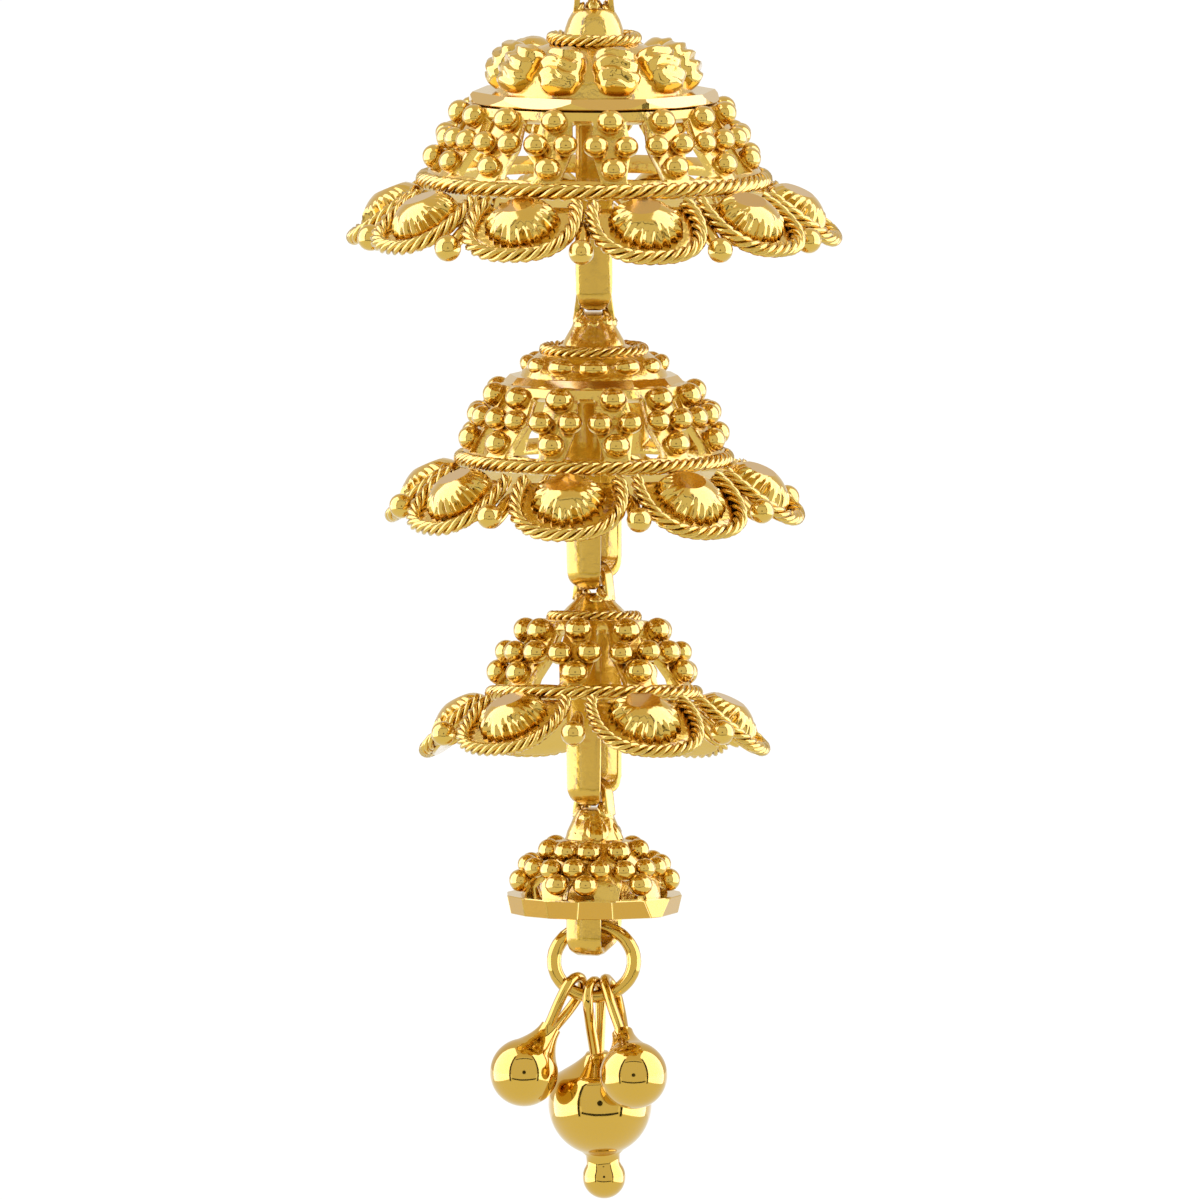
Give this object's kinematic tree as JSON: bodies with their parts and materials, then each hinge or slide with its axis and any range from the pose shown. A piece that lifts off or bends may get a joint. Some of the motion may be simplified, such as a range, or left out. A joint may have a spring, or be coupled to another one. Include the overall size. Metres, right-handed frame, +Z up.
{
  "type": "jhumka earring",
  "caption": "Tiered gold jhumka earring: openwork domes with petal skirts hung on flat straps, with a jump ring, ball drops and a plain wire hook.",
  "frame": {"origin": "under the top of the hook's bend, where the hook hangs in the ear lobe", "axes": "+Z up along the line that the earring hangs on, -Y towards the front, +X to the right as seen from the front"},
  "size_m": [0.022, 0.0218, 0.0712],
  "materials": {
    "worked_gold": "polished 22 carat gold with bright-cut facets, twisted wire and granules, darker in its crevices",
    "plain_gold": "polished 22 carat gold, plain and slightly uneven from handwork"
  },
  "bodies": {
    "top": {"ear_hook": "plain_gold", "top_dome": "worked_gold"},
    "second": {"second_dome": "worked_gold"},
    "third": {"third_dome": "worked_gold"},
    "small": {"small_dome": "worked_gold", "jump_ring": "plain_gold", "left_ball_drop": "plain_gold", "centre_ball_drop": "plain_gold", "right_ball_drop": "plain_gold"}
  },
  "joints": [
    {"name": "second_swing", "type": "hinge", "parent": "top", "child": "second", "pos_m": [0, 0, -0.03009], "axis": [0, 1, 0], "range_deg": [-30, 30]},
    {"name": "third_swing", "type": "hinge", "parent": "second", "child": "third", "pos_m": [0, 0, -0.04269], "axis": [0.5, 0.866, 0], "range_deg": [-30, 30]},
    {"name": "small_swing", "type": "hinge", "parent": "third", "child": "small", "pos_m": [0, 0, -0.05246], "axis": [0.5, 0.866, 0], "range_deg": [-30, 30]}
  ]
}
